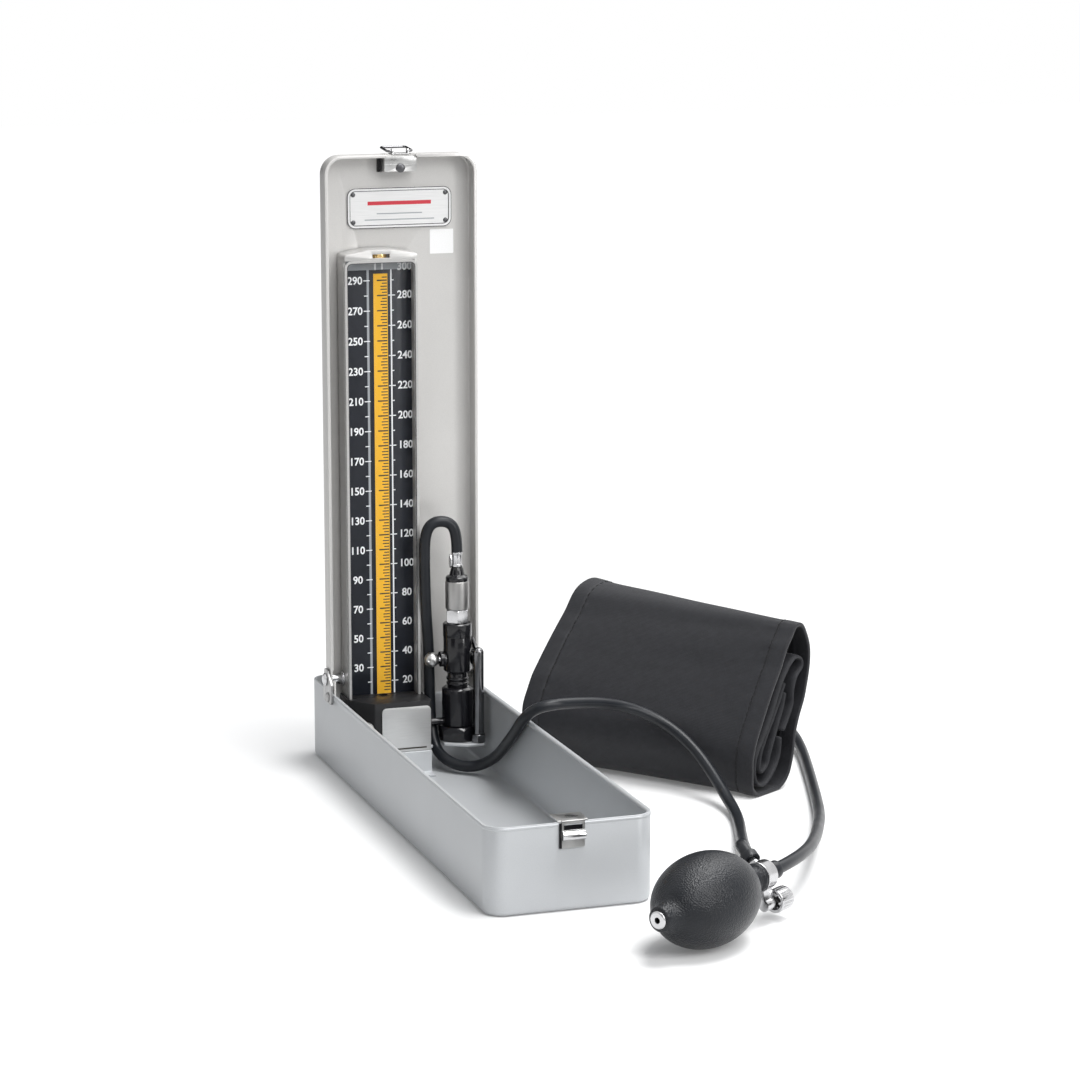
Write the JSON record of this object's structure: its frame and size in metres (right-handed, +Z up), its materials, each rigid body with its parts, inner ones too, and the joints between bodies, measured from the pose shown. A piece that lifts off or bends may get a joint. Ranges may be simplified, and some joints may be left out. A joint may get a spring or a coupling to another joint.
{
  "type": "mercury sphygmomanometer",
  "caption": "Desk blood pressure gauge: hinged steel case with a mercury column and scale in the lid, arm cuff, hoses and squeeze bulb.",
  "frame": {"origin": "middle of the case's underside, on the surface it stands on", "axes": "+X across the case to the user's right, +Y along the case from its catch end to its hinge end, +Z up"},
  "size_m": [0.3149, 0.4958, 0.4022],
  "materials": {
    "case_paint": "fine hammered silver-grey enamel",
    "plated_steel": "zinc-plated sheet and screws",
    "chrome": "bright plating",
    "name_plate": "satin plate with an engraved border and no lettering",
    "label_plate": "satin plate, blank",
    "housing_plastic": "moulded dark housing",
    "black_gloss": "glossy black enamel and moulding",
    "clear_cover": "clear acrylic window",
    "glass": "clear glass tube",
    "scale_paint": "dark blue-black scale with white numerals and a yellow strip",
    "brass": "polished brass cap",
    "satin_sleeve": "satin sleeve",
    "leather": "filter pad",
    "mercury": "liquid mercury charge",
    "black_rubber": "black rubber, finely pebbled on the bulb",
    "cuff_cloth": "black woven nylon"
  },
  "bodies": {
    "case_base": {"tray": "case_paint", "hinge_plate_right": "plated_steel", "hinge_plate_left": "plated_steel", "hinge_plate_screws": "plated_steel", "stop_bracket": "plated_steel", "catch_plate": "chrome", "catch_hook": "chrome", "cuff_wrap": "cuff_cloth", "cuff_inner_turn": "cuff_cloth", "cuff_bladder": "black_rubber", "cuff_connector": "black_rubber", "bulb": "black_rubber", "inlet_valve": "chrome", "valve_body": "chrome", "hose_collars": "black_rubber", "gauge_hose": "black_rubber", "cuff_hose": "black_rubber"},
    "lid_unit": {"lid": "case_paint", "hinge_pins": "chrome", "lid_keeper": "chrome", "keeper_screw": "chrome", "hasp_lugs": "chrome", "name_plate": "name_plate", "name_plate_screws": "chrome", "manometer_housing": "housing_plastic", "housing_cap": "black_gloss", "clear_cover": "clear_cover", "scale_plate": "scale_paint", "glass_tube": "glass", "tube_top_cap": "brass", "tube_gland": "black_rubber", "housing_spacers": "plated_steel", "housing_screws": "plated_steel", "cistern_block": "black_gloss", "drain_screw": "plated_steel", "label_plate": "label_plate", "unit_shelf": "plated_steel", "shelf_rivets": "plated_steel", "link_pipe": "chrome", "base_nut": "black_gloss", "reservoir": "black_gloss", "mercury": "mercury", "reservoir_neck": "black_gloss", "tap_body": "black_gloss", "tap_gland_nut": "chrome", "tap_end_cap": "chrome", "lock_nut": "chrome", "filter_sleeve": "satin_sleeve", "filter_pad": "leather", "cone_cap": "black_gloss", "hose_ferrule": "chrome", "side_post": "chrome", "post_nut": "chrome", "tie_arm": "black_gloss"},
    "hasp": {"hasp_loop": "chrome"},
    "tap": {"tap_spindle": "chrome", "tap_ball_knob": "chrome"},
    "release_stem": {"release_needle": "chrome"},
    "release_cap": {"release_knob": "chrome"},
    "inlet_disc": {"inlet_flap": "black_rubber"}
  },
  "joints": [
    {"name": "lid_hinge", "type": "hinge", "parent": "case_base", "child": "lid_unit", "pos_m": [0, 0.146, 0.06], "axis": [1, 0, 0], "range_deg": [0, 90], "deforming": ["gauge_hose"]},
    {"name": "hasp_pivot", "type": "hinge", "parent": "lid_unit", "child": "hasp", "pos_m": [0, 0.1415, 0.4], "axis": [1, 0, 0], "range_deg": [0, 175]},
    {"name": "tap_turn", "type": "hinge", "parent": "lid_unit", "child": "tap", "pos_m": [0.031, 0.124, 0.073], "axis": [1, 0, 0], "range_deg": [0, 90]},
    {"name": "needle_slide", "type": "slide", "parent": "case_base", "child": "release_stem", "axis": [0.8385, 0.5446, 0.0175], "range_m": [0, 0.0015]},
    {"name": "release_turn", "type": "hinge", "parent": "release_stem", "child": "release_cap", "pos_m": [0.09942, -0.24528, 0.01113], "axis": [0.8385, 0.5446, 0.0175], "range_deg": [0, 540]},
    {"name": "flap_lift", "type": "slide", "parent": "case_base", "child": "inlet_disc", "axis": [0.8385, 0.5446, 0.0175], "range_m": [0, 0.001]}
  ],
  "couplings": [
    {"joint": "release_turn", "follows": "needle_slide", "rad_per_m": 6283.2}
  ]
}
